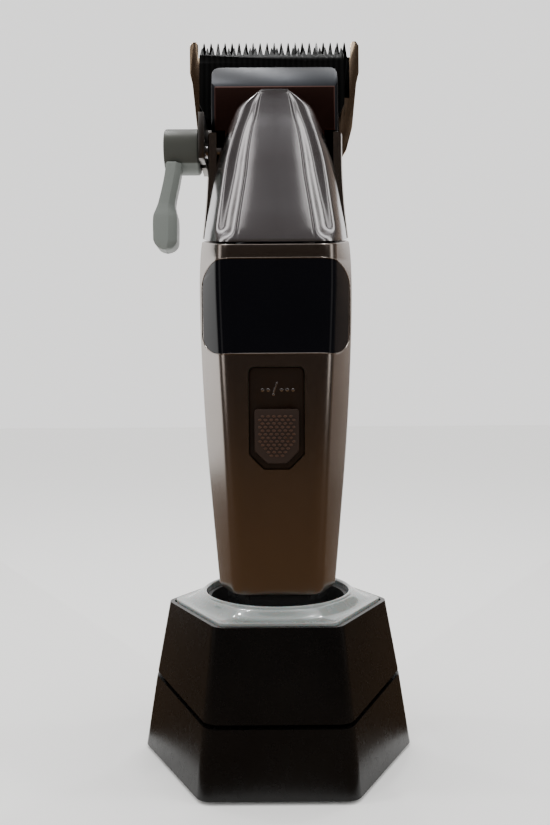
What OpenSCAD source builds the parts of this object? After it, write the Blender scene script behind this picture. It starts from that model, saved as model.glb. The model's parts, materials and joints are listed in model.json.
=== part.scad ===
// Cordless hair clipper standing in its hexagonal charging dock.
// Millimetres. The origin is the middle of the dock's footprint on the surface it stands on.
// +Z is up, towards the blade teeth. The display and the switch face -Y.

/* [Dock] */
// Distance from the dock's middle to a corner, at the bottom
dock_base_r = 35.8; // [34:0.1:38]
// Distance from the dock's middle to a corner, at the top edge
dock_top_r = 29.2; // [28.2:0.1:30]
// Height of the dock's top edge
dock_h = 38; // [37:0.5:42]
// Height of the parting groove at the side corners
groove_z = 19.5; // [17:0.5:21]
// Slope of the parting groove, low at the front
groove_tilt = 6; // [0:0.5:7]
// Width of the parting groove
groove_w = 1; // [0.6:0.1:1.6]
// Radius of the round mouth that the clipper stands in
mouth_r = 18.4; // [18.2:0.1:18.8]
// Depth of the clipper's end in the dock, below the dock's top edge
seat_depth = 16; // [14:0.5:18]

/* [Handle] */
// Width of the handle at its widest
handle_w = 39.5; // [38:0.5:42]
// Wall thickness of the metal shells
wall = 1.8; // [1.6:0.1:2.2]
// Height of the handle's lower end, above the dock's top edge
handle_gap = 4.5; // [4:0.1:6]
// Length of the handle below its seam
handle_l = 84.9; // [84:0.1:86]
// Height of the display window
window_h = 22.6; // [20:0.2:24]
// Travel of the on and off slider
switch_travel = 2.8; // [2:0.1:3]

/* [Head] */
// Width of the fixed blade across its guard teeth
blade_w = 46; // [45:0.5:47]
// Teeth of the fixed blade between its two guard teeth
fixed_teeth = 21; // [19:2:23]
// Tooth pitch of the fixed blade
fixed_pitch = 1.906; // [1.7:0.01:1.92]
// Teeth of the moving cutter
cutter_teeth = 27; // [25:2:27]
// Tooth pitch of the moving cutter
cutter_pitch = 1.446; // [1.3:0.01:1.45]
// Half of the cutter's stroke
half_stroke = 1.3; // [1:0.1:1.4]
// Place of the cutter along its stroke, to the right of the middle
cutter_rest = -0.7; // [-0.9:0.1:0.9]
// Largest rise of the fixed blade
taper_rise = 2; // [1:0.1:2.1]

/* [Hidden] */
$fn = 48;
eps = 0.01;

// ---- places that follow from the sizes above ----
foot_h = 0.8;
dock_wall = 2;
dock_slope = (dock_base_r - dock_top_r) / dock_h;
hex_edge_r = 4.5;
plate_r = dock_top_r - 2.3;
collar_h = 3.3;
collar_top = dock_h + collar_h;
cup_floor = dock_h - seat_depth;
cup_t = 2;
pin_x = 5;
pin_r = 1.1;
board_z = 6.2;
board_t = 1.6;
screw_ring_r = 23.5;

handle_z = dock_h + handle_gap;
seam_z = handle_z + handle_l;
seam_gap = 0.5;
seam_tilt = 14.4;
seam_y = -17.6;
split_y = 1;
split_gap = 0.1;
front_tilt = 2.41;
front_y = -14;
switch_z = 85.8;
window_z = 112.7;
window_w = 37.6;

axis_z = 155;
shoulder_z = 159;
rim_y = -3.5;
cover_z = seam_z + seam_gap;
cover_top = 169.3;
base_front_y = -3.5;
base_back_y = 6.05;
base_top = 177.4;
base_half_w = 16.3;
cutter_y = 6.15;
cutter_t = 2.5;
fixed_y = cutter_y + cutter_t + 0.05;
fixed_t = 2.5;
fixed_tip_z = 187.9;
fixed_heel_z = 155;
cutter_tip_z = 185.8;
cutter_heel_z = 166;
blade_screw_x = 9;
blade_screw_z = 158.6;
ear_x0 = -19.3;
ear_t = 1.4;
hub_x0 = -28.4;
hub_x1 = -19.4;
hub_r = 5.75;
axle_r = 1.6;
cam_r = 3.2;
cam_pin_r = 1.4;
motor_r = 10.3;
motor_y = 0.5;
motor_z0 = 113;
motor_z1 = 138;
pin_back = sqrt(half_stroke^2 - cutter_rest^2);
pin_z0 = 145.4;
pin_z1 = 150.4;
battery_r = 9.1;
battery_l = 65;

// ---- colours ----
black = [0.05, 0.05, 0.05];
gunmetal = [0.36, 0.33, 0.31];
steel = [0.7, 0.7, 0.72];
frost = [0.62, 0.66, 0.66];
board_green = [0.05, 0.25, 0.12];

// ---- shared geometry ----
function unit(v) = v / norm(v);

// An outline, counter-clockwise, with the corner pts[i] rounded by an arc of radius r[i] and n steps
function rounded(pts, r, n) = [
    for (i = [0:len(pts) - 1])
        let (
            p = pts[i],
            a = unit(pts[(i + len(pts) - 1) % len(pts)] - p),
            b = unit(pts[(i + 1) % len(pts)] - p),
            half = acos(a * b) / 2,
            c = p + unit(a + b) * r[i] / sin(half),
            s = p + a * r[i] / tan(half) - c,
            from = atan2(s.y, s.x),
            turn = 180 - 2 * half
        )
        for (k = [0:n]) c + r[i] * [cos(from + turn * k / n), sin(from + turn * k / n)]
];

// Smooth value of column c at height z: a cubic through the rows of a table that starts with the height
function smooth_col(table, z, c) =
    let (
        last = len(table) - 1,
        i = max([0, for (k = [0:last - 1]) if (table[k][0] <= z) k]),
        p0 = table[max(i - 1, 0)],
        p1 = table[i],
        p2 = table[min(i + 1, last)],
        p3 = table[min(i + 2, last)],
        h = p2[0] - p1[0],
        t = min(1, max(0, (z - p1[0]) / h)),
        m1 = (p2[c] - p0[c]) / max(p2[0] - p0[0], eps) * h,
        m2 = (p3[c] - p1[c]) / max(p3[0] - p1[0], eps) * h
    )
    (2 * t^3 - 3 * t^2 + 1) * p1[c] + (t^3 - 2 * t^2 + t) * m1
        + (3 * t^2 - 2 * t^3) * p2[c] + (t^3 - t^2) * m2;

// A solid through convex rings of 3D points, all of one length, counter-clockwise and from low to high
module loft(rings) {
    n = len(rings[0]);
    m = len(rings);
    polyhedron(
        points = [for (r = rings) each r],
        faces = [
            for (i = [1:n - 2]) [0, i, i + 1],
            for (i = [1:n - 2]) [(m - 1) * n, (m - 1) * n + i + 1, (m - 1) * n + i],
            for (j = [0:m - 2], i = [0:n - 1])
                let (a = j * n + i, b = j * n + (i + 1) % n)
                each [[a, a + n, b + n], [a, b + n, b]]
        ]
    );
}

// A solid between two grids of points of one size, such as an open cover's outer and inner face
module thick_sheet(outer, inner) {
    m = len(outer);
    n = len(outer[0]);
    base = m * n;
    polyhedron(
        points = [for (r = outer) each r, for (r = inner) each r],
        faces = [
            for (j = [0:m - 2], i = [0:n - 2])
                let (a = j * n + i, b = a + 1, c = a + n, d = c + 1)
                each [
                    [a, c, d], [a, d, b],
                    [base + a, base + d, base + c], [base + a, base + b, base + d]
                ],
            for (j = [0:m - 2])
                let (a = j * n, c = a + n, b = a + n - 1, d = c + n - 1)
                each [
                    [a, base + a, base + c], [a, base + c, c],
                    [b, base + d, base + b], [b, d, base + d]
                ],
            for (i = [0:n - 2])
                let (a = i, b = i + 1, c = (m - 1) * n + i, d = c + 1)
                each [
                    [a, b, base + b], [a, base + b, base + a],
                    [c, base + d, d], [c, base + c, base + d]
                ]
        ]
    );
}

// The children as one closed mesh, for free-form shells with cut-outs
module as_mesh() {
    resize([0, 0, 0]) children();
}

module box(low, high) {
    translate(low) cube(high - low);
}

// A cylinder along X from x0 to x1, at [y, z]
module rod_x(x0, x1, r, y, z) {
    translate([x0, y, z]) rotate([0, 90, 0]) cylinder(h = x1 - x0, r = r);
}

// A cylinder along Y from y0 to y1, at [x, z]
module rod_y(y0, y1, r, x, z) {
    translate([x, y0, z]) rotate([-90, 0, 0]) cylinder(h = y1 - y0, r = r);
}

// A flat outline in X and Z, thickened along Y from y0 to y1
module slab_y(y0, y1) {
    translate([0, y1, 0]) rotate([90, 0, 0]) linear_extrude(y1 - y0) children();
}

// ---- dock ----
function dock_r(z) = dock_base_r - dock_slope * z;

function hexagon(r, edge_r) =
    rounded([for (k = [0:5]) r * [cos(60 * k), sin(60 * k)]], [for (k = [0:5]) edge_r], 4);

function hex_ring(r, z, edge_r) = [for (p = hexagon(r, edge_r)) [p.x, p.y, z]];

// The dock's tapered block, drawn in by inset, from z0 to z1
module dock_block(z0, z1, inset) {
    loft([for (z = [z0, z1]) hex_ring(dock_r(z) - inset / cos(30), z, max(hex_edge_r - inset, 0.8))]);
}

// All space above the tilted parting plane, moved up by dz
module above_groove(dz) {
    translate([0, 0, groove_z + dz]) rotate([groove_tilt, 0, 0])
        translate([-60, -60, 0]) cube([120, 120, 60]);
}

module boss_places() {
    for (k = [0:2]) rotate([0, 0, 30 + 120 * k]) translate([screw_ring_r, 0, 0]) children();
}

module foot_places() {
    for (k = [0:5]) rotate([0, 0, 60 * k]) translate([dock_base_r - 9.5, 0, 0]) children();
}

module dock_lower_shell() {
    skirt_in = dock_wall + 0.2;
    color(black) as_mesh() difference() {
        union() {
            difference() {
                dock_block(foot_h, groove_z + 12, 0);
                above_groove(-groove_w / 2);
            }
            difference() {
                dock_block(foot_h + 3, groove_z + 12, skirt_in);
                above_groove(2.5);
            }
        }
        dock_block(foot_h - 1, groove_z + 13, skirt_in + 1.4);
        box([-4.9, 20, board_z + board_t - 0.3], [4.9, 40, board_z + board_t + 3.6]);
    }
}

module dock_upper_shell() {
    color(black) as_mesh() difference() {
        intersection() {
            dock_block(groove_z - 8, dock_h, 0);
            above_groove(groove_w / 2);
        }
        dock_block(groove_z - 9, dock_h - 3, dock_wall);
        loft([for (z = [dock_h - 4, dock_h + 1]) hex_ring(plate_r + 0.15, z, 3)]);
    }
}

module dock_light_ring() {
    slope_w = 3.6;
    color(frost) difference() {
        union() {
            translate([0, 0, dock_h - 1.6]) linear_extrude(2.1) polygon(hexagon(plate_r, 3));
            rotate_extrude() polygon([
                [mouth_r, dock_h - 1.6], [mouth_r + slope_w, dock_h - 1.6], [mouth_r + slope_w, dock_h + 0.5],
                [mouth_r + slope_w - 1.4, dock_h + 1.1], [mouth_r + 1.5, collar_top - 0.5],
                [mouth_r + 0.8, collar_top], [mouth_r, collar_top]
            ]);
        }
        translate([0, 0, dock_h - 5]) cylinder(h = 20, r = mouth_r);
    }
}

module dock_socket_cup() {
    lip = 1.1;
    color(black) difference() {
        translate([0, 0, cup_floor - cup_t])
            cylinder(h = dock_h + 1.5 - cup_floor + cup_t, r = mouth_r - 0.1);
        translate([0, 0, dock_h - 5]) cylinder(h = 20, r = mouth_r - lip);
        translate([0, 0, cup_floor]) linear_extrude(20) polygon(cap_outline(0.35));
        for (x = [-pin_x, pin_x]) translate([x, 0, 0]) cylinder(h = cup_floor + 1, r = pin_r + 0.4);
    }
}

module dock_base_plate() {
    z0 = foot_h;
    color(black) difference() {
        translate([0, 0, z0]) linear_extrude(2) polygon(hexagon(dock_r(0) - 4.9, 3));
        foot_places() translate([0, 0, z0 - 1]) cylinder(h = 1.8, r = 4.05);
        boss_places() translate([0, 0, -1]) cylinder(h = 6, r = 1.6);
        boss_places() translate([0, 0, z0 - 1]) cylinder(h = 2, r = 3);
    }
}

module dock_rubber_feet() {
    color([0.12, 0.12, 0.12]) foot_places() cylinder(h = foot_h + 0.8, r = 4);
}

module dock_base_screws() {
    color(steel) boss_places() difference() {
        union() {
            translate([0, 0, foot_h]) cylinder(h = 1, r = 2.7);
            translate([0, 0, foot_h]) cylinder(h = 6.5, r = 1.4);
        }
        for (a = [0, 90]) rotate([0, 0, a]) translate([-1.5, -0.3, 0]) cube([3, 0.6, foot_h + 0.5]);
    }
}

module dock_ballast() {
    z0 = foot_h + 2;
    color(steel) difference() {
        translate([0, 0, z0]) linear_extrude(3) polygon(hexagon(27.5, 3));
        boss_places() translate([0, 0, z0 - 1]) cylinder(h = 6, r = 1.45);
    }
}

module dock_board() {
    color(board_green) difference() {
        box([-15, -16, board_z], [15, 25.4, board_z + board_t]);
        boss_places() translate([0, 0, board_z - 1]) cylinder(h = 4, r = 2);
    }
}

module dock_power_inlet() {
    z0 = board_z + board_t;
    y1 = dock_r(z0 + 1.6) * cos(30) - 0.6;
    y0 = y1 - 7.5;
    color(steel) {
        difference() {
            translate([0, 0, z0 + 1.65]) slab_y(y0, y1) round_slot(8.9, 3.2);
            translate([0, 0, z0 + 1.65]) slab_y(y0 + 1, y1 + 1) round_slot(8.3, 2.6);
        }
        box([-3, y0 + 0.5, z0 + 1.3], [3, y1 - 1, z0 + 2]);
    }
}

// A slot outline with round ends, w wide and h high, about the origin
module round_slot(w, h) {
    square([w - h, h], center = true);
    for (x = [-1, 1]) translate([x * (w - h) / 2, 0]) circle(r = h / 2);
}

module dock_led_ring() {
    z0 = dock_h - 5;
    color([0.9, 0.92, 0.9]) {
        difference() {
            translate([0, 0, z0]) cylinder(h = 1.2, r = 23);
            translate([0, 0, z0 - 1]) cylinder(h = 4, r = mouth_r + 0.3);
        }
        for (k = [0:11]) rotate([0, 0, 15 + 30 * k]) translate([19.6, -1, z0 + 1.2 - eps]) cube([2, 2, 0.8]);
    }
}

module dock_contact_tower() {
    z0 = board_z + board_t;
    z1 = cup_floor - cup_t - 0.3;
    color(black) difference() {
        box([-8, -3.2, z0], [8, 3.2, z1]);
        for (x = [-pin_x, pin_x]) translate([x, 0, z0 + 1.5]) cylinder(h = 30, r = pin_r + 0.07);
    }
}

module dock_pin(x) {
    z0 = cup_floor - 9;
    color([0.85, 0.7, 0.3]) translate([x, 0, z0]) {
        cylinder(h = cup_floor - z0 - 0.5, r = pin_r);
        cylinder(h = cup_floor - z0, r = pin_r - 0.4);
    }
}

// ---- handle ----
// Height, half-width, half-width of the flat front, half-width of the flat back, back depth
stations = [
    [42, 0.757, 10.2, 7.5, 13.4],
    [60, 0.838, 11.0, 8.5, 14.6],
    [80, 0.921, 11.9, 9.5, 15.6],
    [100, 0.977, 12.9, 10, 16],
    [118, 1, 13.6, 10, 15.4],
    [128, 0.984, 13.6, 10, 14.4],
    [134, 0.945, 13.2, 9.5, 13.6],
    [142, 0.904, 12.6, 9, 12.4],
    [150, 0.883, 12, 8.5, 10.8],
    [160, 0.881, 11.5, 8, 9.6]
];

function half_w(z) = handle_w / 2 * smooth_col(stations, z, 1);
function front_depth(z) = -front_y + (z - 42.5) * tan(front_tilt);

// The handle's convex outline at height z, drawn in by t
function handle_outline(z, t) =
    let (
        w = half_w(z) - t,
        wf = smooth_col(stations, z, 2) - 0.65 * t,
        wb = smooth_col(stations, z, 3) - 0.44 * t,
        df = front_depth(z) - t,
        db = smooth_col(stations, z, 4) - t
    )
    rounded(
        [[-wf, -df], [wf, -df], [w, -2], [w, 5], [wb, db], [-wb, db], [-w, 5], [-w, -2]],
        [5, 5, 4, 5, 8, 8, 5, 4], 3
    );

// All space above the tilted seam between the handle and the head, moved up by dz
module above_seam(dz) {
    translate([0, seam_y, seam_z + dz]) rotate([seam_tilt, 0, 0])
        translate([-60, -60, 0]) cube([120, 160, 90]);
}

module handle_block(z0, z1, t, steps) {
    loft([
        for (k = [0:steps])
            let (z = z0 + (z1 - z0) * k / steps)
            [for (p = handle_outline(z, t)) [p.x, p.y, z]]
    ]);
}

// Places children in the plane of the flat front: +Y into the handle, Z along the front, from height z
module on_front(z) {
    translate([0, -front_depth(z), z]) rotate([front_tilt, 0, 0]) children();
}

// The display window's outline in X and Z, grown by g
module window_outline(g) {
    w = window_w / 2 + g;
    h = window_h / 2 + g;
    polygon(rounded([[-w, -h], [w, -h], [w, h], [-w, h]], [5.6 + g, 5.6 + g, 5 + g, 5 + g], 6));
}

// The switch panel's outline, w wide, from -down to up, with clipped lower corners
module panel_outline(w, down, up, clip, top_r) {
    polygon(rounded(
        [[-w / 2 + clip, -down], [w / 2 - clip, -down], [w / 2, -down + clip], [w / 2, up], [-w / 2, up],
         [-w / 2, -down + clip]],
        [1, 1, 1, top_r, top_r, 1], 4
    ));
}

module window_hole(g) {
    on_front(window_z) slab_y(-5, 12.2 + g) window_outline(g);
}

// The handle's two shells as one tube, up to the tilted seam
module handle_tube() {
    difference() {
        handle_block(handle_z, seam_z + 10, 0, 12);
        handle_block(handle_z - 1, seam_z + 11, wall, 13);
        above_seam(0);
    }
}

module front_shell() {
    color(gunmetal) as_mesh() difference() {
        handle_tube();
        box([-40, split_y - split_gap / 2, 0], [40, 60, 200]);
        window_hole(0.1);
        on_front(switch_z) slab_y(-5, 5) panel_outline(13.5, 12.4, 12.4, 3.6, 1.4);
    }
}

module rear_shell() {
    color(gunmetal) as_mesh() difference() {
        handle_tube();
        box([-40, -60, 0], [40, split_y + split_gap / 2, 200]);
        screw_places() rod_y(-8, 3, 1.15, 0, 0);
        screw_places() rod_y(-0.9, 3, 2.1, 0, 0);
    }
}

// Heights of the rear screws, whose heads sit in recesses in the back's flat
screw_rows = [53, 119];
function back_depth(z) = smooth_col(stations, z, 4);
module screw_places() {
    for (z = screw_rows, x = [-4.2, 4.2]) translate([x, back_depth(z), z]) children();
}

module housing_screws() {
    color(steel) screw_places() difference() {
        union() {
            rod_y(-0.9, -0.1, 1.9, 0, 0);
            rod_y(-3.9, -0.5, 1.05, 0, 0);
        }
        for (a = [0, 90]) rotate([0, a, 0]) translate([-1.2, -0.5, -0.25]) cube([2.4, 1, 0.5]);
    }
}

module head_housing() {
    color(gunmetal) as_mesh() difference() {
        intersection() {
            handle_block(seam_z, shoulder_z, 0, 8);
            above_seam(seam_gap);
        }
        handle_block(seam_z - 1, shoulder_z + 1, 2, 8);
        box([-40, -60, 0], [40, rim_y + 0.2, 200]);
        box([-40, base_back_y - 0.25, 150.5], [40, 60, 200]);
        rod_x(-30, -10, axle_r + 0.05, 0, axis_z);
    }
}

// ---- nose cover ----
// Height, half-width at the rim, half-width of the flat middle, depth of the flat in front of the rim
cover_rows = [
    [126.5, 18.9, 9, 14.5],
    [134, 18.0, 8.1, 12.2],
    [140, 17.0, 7.3, 10.2],
    [146, 16.0, 6.5, 8.3],
    [152, 14.6, 6.0, 6.5],
    [158, 12.6, 5.2, 4.6],
    [162.4, 10.8, 4.2, 3.2],
    [165.6, 9.1, 3.7, 2.3],
    [167.6, 6.4, 3.4, 1.8],
    [169.3, 3.6, 3.2, 1.5]
];

function ease(t) = let (c = min(1, max(0, t))) c * c * (3 - 2 * c);
function bump(s, mid, reach) = abs(s - mid) < reach ? cos(90 * (s - mid) / reach)^2 : 0;

// Depth of the cover in front of its rim, at share s of the way from the flat middle to the rim
function cover_depth(z, s) =
    let (
        h = smooth_col(cover_rows, z, 3),
        dome = h * pow(max(0, 1 - pow(s, 2.7)), 0.8),
        seam_here = cover_z + (rim_y - dome - seam_y) * tan(seam_tilt),
        ends = ease((z - seam_here - 0.6) / 2.5) * min(1, h / 7)
    )
    dome - ends * (1.25 * bump(s, 0.36, 0.3) + 0.4 * bump(s, 0.06, 0.07));

// Shares of the half-width at which the cover is drawn, from the rim on the left to the rim on the right
cover_shares = [1, 0.985, 0.95, 0.9, 0.84, 0.76, 0.66, 0.56, 0.46, 0.36, 0.26, 0.17, 0.1, 0.06, 0.02, 0];
function cover_columns() = concat(
    [for (s = cover_shares) [-1, s]],
    [for (k = [len(cover_shares) - 1:-1:0]) [1, cover_shares[k]]]
);

// A row of the cover at height z: its outer face, or its inner face if t is the wall
function cover_row(z, t) =
    let (w = smooth_col(cover_rows, z, 1), p = smooth_col(cover_rows, z, 2))
    [
        for (c = cover_columns())
            let (x = p + (w - p) * c[1], d = cover_depth(z, c[1]))
            [c[0] * x * (w - t) / w, rim_y - max(0, d - t), z]
    ];

module nose_cover() {
    steps = 17;
    low = seam_z - 0.9;
    rows = [for (k = [0:steps]) low + (cover_top - low) * (1 - pow(1 - k / steps, 1.3))];
    color(steel) as_mesh() intersection() {
        thick_sheet([for (z = rows) cover_row(z, 0)], [for (z = rows) cover_row(z, 1.4)]);
        above_seam(seam_gap);
    }
}

// ---- end cap and what it holds ----
function cap_outline(g) = handle_outline(handle_z, wall + 0.2 - g);

module end_cap() {
    color(black) difference() {
        translate([0, 0, cup_floor]) linear_extrude(handle_z + 5 - cup_floor) polygon(cap_outline(0));
        translate([0, 0, cup_floor + 2.4]) linear_extrude(60) polygon(cap_outline(-2));
        for (x = [-pin_x, pin_x]) translate([x, 0, cup_floor - 1]) cylinder(h = 1.8, r = 2.1);
        translate([0, 6.5, cup_floor - 1]) linear_extrude(5) round_slot(9.2, 3.5);
    }
}

module charge_contacts() {
    color([0.85, 0.7, 0.3]) for (x = [-pin_x, pin_x]) translate([x, 0, cup_floor]) cylinder(h = 0.8, r = 2);
}

module charge_port() {
    color(steel) translate([0, 6.5, cup_floor + 0.3]) {
        difference() {
            linear_extrude(7) round_slot(8.9, 3.2);
            translate([0, 0, -1]) linear_extrude(7) round_slot(8.3, 2.6);
        }
        box([-3, -0.35, 1], [3, 0.35, 6.5]);
    }
}

// ---- display and switch ----
module display_window() {
    color(black) as_mesh() intersection() {
        difference() {
            handle_block(window_z - 14, window_z + 14, 0.1, 4);
            handle_block(window_z - 15, window_z + 15, 1.5, 4);
        }
        window_hole(0);
    }
}

module display_panel() {
    color([0.1, 0.12, 0.14]) on_front(window_z) box([-11, 2.1, -10], [11, 4.2, 10]);
}

stem_z = -4.3;
module switch_plate() {
    slot_h = 3;
    color(black) on_front(switch_z) difference() {
        slab_y(0.5, 2.2) panel_outline(13.3, 12.3, 12.3, 3.6, 1.4);
        box([-2.3, -1, stem_z - slot_h / 2 - 0.2], [2.3, 4, stem_z + slot_h / 2 + switch_travel + 0.2]);
    }
}

module switch_slider() {
    slot_h = 3;
    color([0.14, 0.1, 0.09]) on_front(switch_z) {
        slab_y(-0.9, 0.45) panel_outline(10.7, 10.8, 2.3, 3, 0.8);
        box([-2, 0.4, stem_z - slot_h / 2], [2, 3.4, stem_z + slot_h / 2]);
    }
}

module micro_switch() {
    color([0.2, 0.2, 0.22]) on_front(switch_z) difference() {
        box([-4, 3, stem_z - 4.5], [4, 4.6, stem_z + 4.5 + switch_travel]);
        box([-2.3, 2, stem_z - 1.9], [2.3, 3.7, stem_z + 1.9 + switch_travel]);
    }
}

module main_board() {
    color(board_green) on_front(switch_z) box([-9, 4.6, -20], [9, 5.6, 14]);
}

// ---- chassis, battery and motor ----
module battery() {
    z0 = handle_z + 4;
    color([0.1, 0.25, 0.5]) translate([0, 0, z0]) {
        cylinder(h = battery_l, r = battery_r);
        translate([0, 0, battery_l - eps]) cylinder(h = 1.2, r = 3);
    }
}

module chassis() {
    z0 = handle_z + 6;
    color([0.15, 0.15, 0.16]) difference() {
        union() {
            translate([0, 0, z0]) linear_extrude(motor_z1 - 2.1 - z0) difference() {
                circle(r = 11);
                circle(r = 9.3);
                translate([-20, -40]) square([40, 40]);
            }
            for (z = screw_rows, x = [-4.2, 4.2]) rod_y(8.6, back_depth(z) - wall - 1, 2.2, x, z);
        }
        screw_places() rod_y(-6, 5, 1.06, 0, 0);
        translate([0, 0, handle_z]) cylinder(h = battery_l + 6, r = 9.2);
        translate([0, motor_y, motor_z0 - 0.5]) cylinder(h = 40, r = motor_r + 0.1);
    }
}

module motor() {
    color(steel) translate([0, motor_y, motor_z0]) difference() {
        union() {
            cylinder(h = motor_z1 - motor_z0 - 2, r = motor_r);
            cylinder(h = motor_z1 - motor_z0, r = 4.5);
        }
        translate([0, 0, 1]) cylinder(h = 60, r = 1.55);
        translate([0, 0, motor_z1 - motor_z0 - 2.6]) cylinder(h = 60, r = 3.05);
    }
}

module shaft_bearing() {
    color([0.75, 0.6, 0.3]) translate([0, motor_y, motor_z1 - 2.6]) difference() {
        cylinder(h = 2.6, r = 3);
        translate([0, 0, -1]) cylinder(h = 6, r = 1.55);
    }
}

module motor_mount() {
    z0 = motor_z1 - 2;
    color([0.15, 0.15, 0.16]) difference() {
        union() {
            translate([0, motor_y, z0]) cylinder(h = 2, r = 10.2);
            box([-13, -4, z0], [13, 4, z0 + 2]);
        }
        translate([0, motor_y, z0 - 1]) cylinder(h = 6, r = 4.6);
    }
}

module motor_shaft() {
    color(steel) translate([0, motor_y, motor_z0 + 1.5]) cylinder(h = pin_z0 - 1 - motor_z0 - 1.5, r = 1.5);
}

module eccentric() {
    color(steel) translate([0, motor_y, 0]) {
        difference() {
            translate([0, 0, pin_z0 - 5]) cylinder(h = 5, r = 4);
            translate([0, 0, pin_z0 - 6]) cylinder(h = 5, r = 1.5);
        }
        translate([cutter_rest, pin_back, pin_z0 - eps]) cylinder(h = pin_z1 - pin_z0, r = 1);
    }
}

// ---- blade head ----
module blade_base() {
    bevel_z = 170.4;
    corner = 1.1;
    color(gunmetal) difference() {
        slab_y(base_front_y, base_back_y) polygon(rounded(
            [[-12.7, 151.5], [12.7, 151.5], [12.7, shoulder_z + 0.4], [base_half_w, shoulder_z + 0.4],
             [base_half_w, base_top], [-base_half_w, base_top], [-base_half_w, shoulder_z + 0.4],
             [-12.7, shoulder_z + 0.4]],
            [0.6, 0.6, 0, 0.3, 2, 2, 0.3, 0], 4
        ));
        multmatrix([[1, 0, 0, 0], [0, 1, 0.62, 0], [0, 0, 1, 0], [0, 0, 0, 1]])
            box([-30, base_front_y - 20 - 0.62 * bevel_z, bevel_z], [30, base_front_y - 0.62 * bevel_z, 200]);
        for (s = [-1, 1]) translate([0, 0, 155]) linear_extrude(height = 30) polygon([
            [s * (base_half_w - corner), base_front_y - eps],
            [s * (base_half_w + eps), base_front_y + corner],
            [s * (base_half_w + 2), base_front_y - 2]
        ]);
        box([-9, 0.5, 150], [9, 10, 174]);
        rod_x(-20, -11, axle_r + 0.05, 0, axis_z);
    }
}

module cutter_spring() {
    wire_r = 0.55;
    y = 5.5;
    z0 = 153.5;
    z1 = 167.5;
    x = 6.6;
    color(steel) {
        for (side = [-1, 1]) {
            translate([side * x, y, z0]) cylinder(h = z1 - z0, r = wire_r, $fn = 24);
            translate([side * x, y, z1]) sphere(r = wire_r, $fn = 24);
        }
        translate([0, y, z0]) rotate([90, 0, 0]) rotate([0, 0, 180]) rotate_extrude(angle = 180, $fn = 48)
            translate([x, 0]) circle(r = wire_r, $fn = 24);
    }
}

// Points of a row of n teeth at a pitch, from right to left: roots at z0, tips at z1
function comb(n, pitch, root_w, tip_w, z0, z1) = [
    for (k = [0:n - 1])
        let (x = ((n - 1) / 2 - k) * pitch)
        each [
            [x + root_w / 2, z0], [x + tip_w / 2 + 0.05, z1 - 0.5], [x + tip_w / 4, z1],
            [x - tip_w / 4, z1], [x - tip_w / 2 - 0.05, z1 - 0.5], [x - root_w / 2, z0]
        ]
];

module cutter_blade() {
    half = (cutter_teeth - 1) / 2 * cutter_pitch + 0.7;
    root = cutter_tip_z - 2.2;
    color(black) translate([cutter_rest, 0, 0]) difference() {
        slab_y(cutter_y, cutter_y + cutter_t) polygon(concat(
            [[-half + 2, cutter_heel_z], [half - 2, cutter_heel_z], [half, cutter_heel_z + 4], [half, root]],
            comb(cutter_teeth, cutter_pitch, 1.2, 0.34, root, cutter_tip_z),
            [[-half, root], [-half, cutter_heel_z + 4]]
        ));
        multmatrix([[1, 0, 0, 0], [0, 1, 0.32, 0], [0, 0, 1, 0], [0, 0, 0, 1]])
            box([-30, cutter_y - 10 - 0.32 * 181, 181], [30, cutter_y - 0.32 * 181, 200]);
        box([-2.1, cutter_y - 1, 168.4], [2.1, cutter_y + 5, 171.6]);
    }
}

module cutter_driver() {
    arm_y = 2.6;
    color([0.8, 0.8, 0.78]) translate([cutter_rest, 0, 0]) {
        difference() {
            box([-5.4, motor_y - 4, pin_z0 + 0.4], [5.4, motor_y + 4, pin_z1 - 0.2]);
            box([-3.75, motor_y - 2.5, pin_z0 - 1], [3.75, motor_y + 2.5, pin_z1 + 1]);
        }
        box([-2.4, arm_y + 0.6, pin_z1 - 0.4], [2.4, motor_y + 4, 171.2]);
        box([-2.05, motor_y + 3, 168.5], [2.05, cutter_y + 1.6, 171.5]);
    }
}

module fixed_blade() {
    half = blade_w / 2;
    root = fixed_tip_z - 4.3;
    guard_w = 2.3;
    bevel_z = 181;
    side = [
        [17.3, fixed_heel_z], [19.6, fixed_heel_z + 3.8], [21.1, 164.5], [22.3, 176.5],
        [half, 179.5], [half, fixed_tip_z - 1.2], [half - 0.8, fixed_tip_z],
        [half - guard_w + 0.5, fixed_tip_z], [half - guard_w, fixed_tip_z - 0.8], [half - guard_w, root]
    ];
    color(steel) difference() {
        slab_y(fixed_y, fixed_y + fixed_t) polygon(concat(
            side,
            comb(fixed_teeth, fixed_pitch, 1.55, 0.34, root, fixed_tip_z - 0.3),
            [for (k = [len(side) - 1:-1:0]) [-side[k][0], side[k][1]]]
        ));
        multmatrix([[1, 0, 0, 0], [0, 1, -0.22, 0], [0, 0, 1, 0], [0, 0, 0, 1]])
            box([-30, fixed_y + fixed_t + 0.22 * bevel_z, bevel_z], [30, fixed_y + 20 + 0.22 * bevel_z, 200]);
        for (x = [-blade_screw_x, blade_screw_x]) rod_y(0, 20, 1.65, x, blade_screw_z);
    }
}

module blade_carrier() {
    ear_x1 = ear_x0 + ear_t;
    pin_rest = [-cam_r, axis_z];
    color(gunmetal) difference() {
        union() {
            box([ear_x0, cutter_y, 151.4], [17, fixed_y, 163]);
            box([ear_x0, -6.6, 151.4], [ear_x1, fixed_y, 163]);
        }
        hull() for (dz = [-taper_rise - 0.2, 0.2])
            rod_x(ear_x0 - 1, ear_x1 + 0.4, axle_r + 0.35, 0, axis_z + dz);
        box([ear_x0 - 1, pin_rest[0] - cam_pin_r - 0.2, axis_z - cam_pin_r - 0.25],
            [ear_x1 + 0.4, pin_rest[0] + cam_pin_r + 1, axis_z + cam_pin_r + 0.25]);
        for (x = [-blade_screw_x, blade_screw_x]) rod_y(0, 20, 1.52, x, blade_screw_z);
    }
}

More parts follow.
